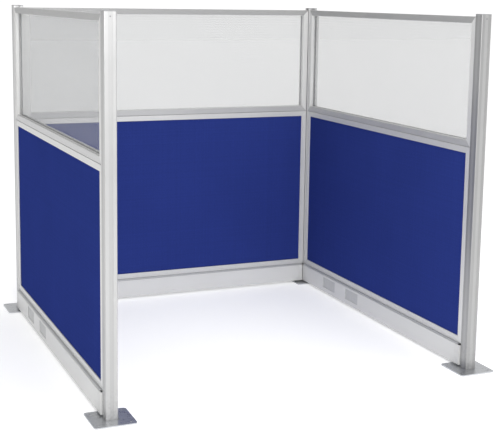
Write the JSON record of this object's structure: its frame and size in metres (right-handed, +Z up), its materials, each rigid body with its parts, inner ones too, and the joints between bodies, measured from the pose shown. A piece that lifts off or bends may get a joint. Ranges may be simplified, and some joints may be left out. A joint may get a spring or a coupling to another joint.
{
  "type": "partition wall",
  "caption": "Three-sided office partition: slotted square posts on foot plates, framed blue fabric panels with fluted windows above and a cable raceway at the base.",
  "frame": {"origin": "on the floor, at the centre of the footprint of the four foot plates", "axes": "+Z up, open side towards -Y, back panel at +Y, +X to the right for someone who looks in"},
  "size_m": [2.12, 2.12, 1.83],
  "materials": {
    "post_aluminium": "satin",
    "trim_aluminium": "satin",
    "frame_aluminium": "satin",
    "spine_aluminium": "satin",
    "inner_aluminium": "satin",
    "cap_plastic": "matte",
    "foot_steel": "satin",
    "fastener_steel": "satin",
    "core_board": "matte",
    "blue_cloth": "matte",
    "window_sheet": "satin",
    "window_seal": "matte",
    "module_strip": "matte",
    "raceway_end": "matte",
    "raceway_cover": "matte",
    "outlet_blank": "matte"
  },
  "bodies": {
    "frame": {"back_core_board": "core_board", "back_fabric_frame_rails": "frame_aluminium", "back_fabric_frame_stiles": "frame_aluminium", "back_fabric_inner": "blue_cloth", "back_fabric_outer": "blue_cloth", "back_left_post": "post_aluminium", "back_post_connectors": "inner_aluminium", "back_raceway_ends": "raceway_end", "back_raceway_spine": "spine_aluminium", "back_right_post": "post_aluminium", "back_window_pane": "window_sheet", "back_window_rails": "frame_aluminium", "back_window_stiles": "frame_aluminium", "corner_keys": "inner_aluminium", "foot_bolts": "fastener_steel", "foot_plates": "foot_steel", "foot_plugs": "inner_aluminium", "frame_screws": "fastener_steel", "front_left_post": "post_aluminium", "front_right_post": "post_aluminium", "left_core_board": "core_board", "left_fabric_frame_rails": "frame_aluminium", "left_fabric_frame_stiles": "frame_aluminium", "left_fabric_inner": "blue_cloth", "left_fabric_outer": "blue_cloth", "left_post_connectors": "inner_aluminium", "left_raceway_ends": "raceway_end", "left_raceway_spine": "spine_aluminium", "left_window_pane": "window_sheet", "left_window_rails": "frame_aluminium", "left_window_stiles": "frame_aluminium", "module_strips": "module_strip", "post_caps": "cap_plastic", "post_trim_strips": "trim_aluminium", "right_core_board": "core_board", "right_fabric_frame_rails": "frame_aluminium", "right_fabric_frame_stiles": "frame_aluminium", "right_fabric_inner": "blue_cloth", "right_fabric_outer": "blue_cloth", "right_post_connectors": "inner_aluminium", "right_raceway_ends": "raceway_end", "right_raceway_spine": "spine_aluminium", "right_window_pane": "window_sheet", "right_window_rails": "frame_aluminium", "right_window_stiles": "frame_aluminium", "window_seals": "window_seal"},
    "back_outer_cover": {"back_raceway_cover_outer": "raceway_cover"},
    "back_inner_cover": {"back_raceway_cover_inner": "raceway_cover"},
    "left_outer_cover": {"left_raceway_cover_outer": "raceway_cover", "left_outlet_blanks_outer": "outlet_blank"},
    "left_inner_cover": {"left_raceway_cover_inner": "raceway_cover", "left_outlet_blanks_inner": "outlet_blank"},
    "right_outer_cover": {"right_raceway_cover_outer": "raceway_cover", "right_outlet_blanks_outer": "outlet_blank"},
    "right_inner_cover": {"right_raceway_cover_inner": "raceway_cover", "right_outlet_blanks_inner": "outlet_blank"}
  },
  "joints": [
    {"name": "back_outer_cover_tilt", "type": "hinge", "parent": "frame", "child": "back_outer_cover", "pos_m": [0, 0.993, 0.1235], "axis": [1, 0, 0], "range_deg": [0, 15]},
    {"name": "back_inner_cover_tilt", "type": "hinge", "parent": "frame", "child": "back_inner_cover", "pos_m": [0, 0.927, 0.1235], "axis": [-1, 0, 0], "range_deg": [0, 15]},
    {"name": "left_outer_cover_tilt", "type": "hinge", "parent": "frame", "child": "left_outer_cover", "pos_m": [-0.993, 0, 0.1235], "axis": [0, 1, 0], "range_deg": [0, 15]},
    {"name": "left_inner_cover_tilt", "type": "hinge", "parent": "frame", "child": "left_inner_cover", "pos_m": [-0.927, 0, 0.1235], "axis": [0, -1, 0], "range_deg": [0, 15]},
    {"name": "right_outer_cover_tilt", "type": "hinge", "parent": "frame", "child": "right_outer_cover", "pos_m": [0.993, 0, 0.1235], "axis": [0, -1, 0], "range_deg": [0, 15]},
    {"name": "right_inner_cover_tilt", "type": "hinge", "parent": "frame", "child": "right_inner_cover", "pos_m": [0.927, 0, 0.1235], "axis": [0, 1, 0], "range_deg": [0, 15]}
  ]
}
